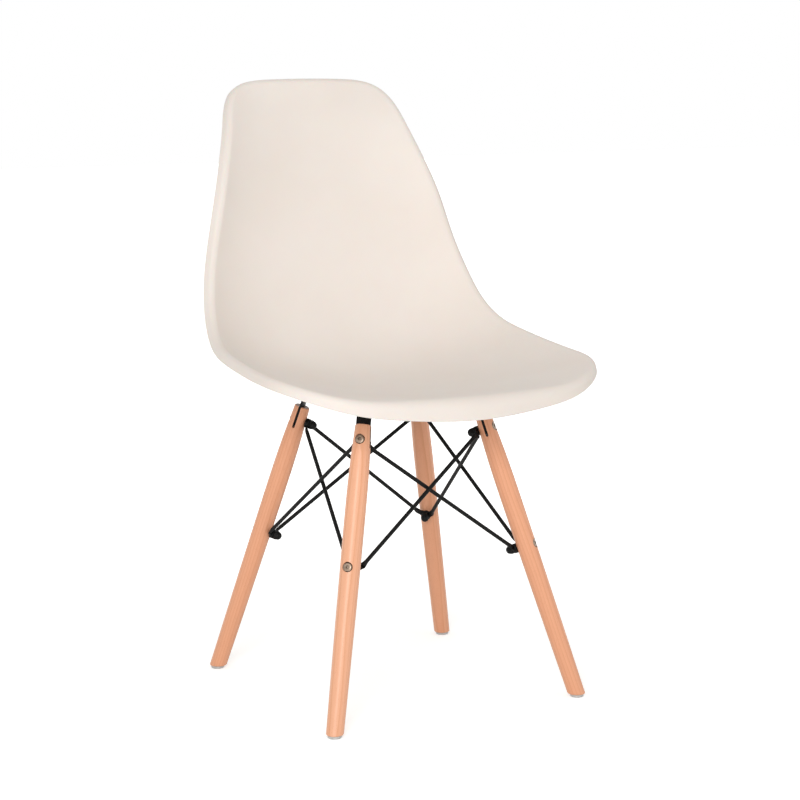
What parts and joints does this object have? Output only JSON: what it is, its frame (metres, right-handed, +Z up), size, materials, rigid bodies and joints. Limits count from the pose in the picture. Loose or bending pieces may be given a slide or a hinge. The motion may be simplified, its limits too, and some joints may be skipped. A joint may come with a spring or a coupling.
{
  "type": "dining chair",
  "caption": "Armless side chair: moulded plastic bucket shell with rolled edge on splayed round wooden legs, tied by crossed thin steel braces.",
  "frame": {"origin": "on the floor, at the middle of the chair's width and depth", "axes": "+Z up; the sitter faces -Y and the backrest is towards +Y; +X is to the right for someone who looks at the chair's front"},
  "size_m": [0.474, 0.4924, 0.8027],
  "materials": {
    "shell_plastic": "smooth satin moulded polypropylene, warm off-white",
    "insert_brass": "knurled brass",
    "pad_rubber": "soft black rubber",
    "fixing_steel": "zinc-plated steel",
    "black_steel": "black satin powder coat",
    "beech_wood": "clear-lacquered beech with fine straight grain",
    "glide_plastic": "pale translucent plastic",
    "bolt_steel": "zinc-plated steel"
  },
  "bodies": {
    "root": {"seat_shell": "shell_plastic", "seat_inserts": "insert_brass", "seat_pads": "pad_rubber", "seat_washers": "fixing_steel", "seat_screws": "fixing_steel", "mounting_bar_plain": "black_steel", "mounting_bar_joggled": "black_steel", "leg_back_right": "beech_wood", "foot_glide_back_right": "glide_plastic", "leg_back_left": "beech_wood", "foot_glide_back_left": "glide_plastic", "leg_front_left": "beech_wood", "foot_glide_front_left": "glide_plastic", "leg_front_right": "beech_wood", "foot_glide_front_right": "glide_plastic", "leg_bolts_upper": "bolt_steel", "leg_bolts_lower": "bolt_steel", "cap_nuts_upper": "black_steel", "cap_nuts_lower": "black_steel", "brace_back_inner": "black_steel", "brace_back_outer": "black_steel", "brace_left_inner": "black_steel", "brace_left_outer": "black_steel", "brace_front_inner": "black_steel", "brace_front_outer": "black_steel", "brace_right_inner": "black_steel", "brace_right_outer": "black_steel"}
  },
  "joints": []
}
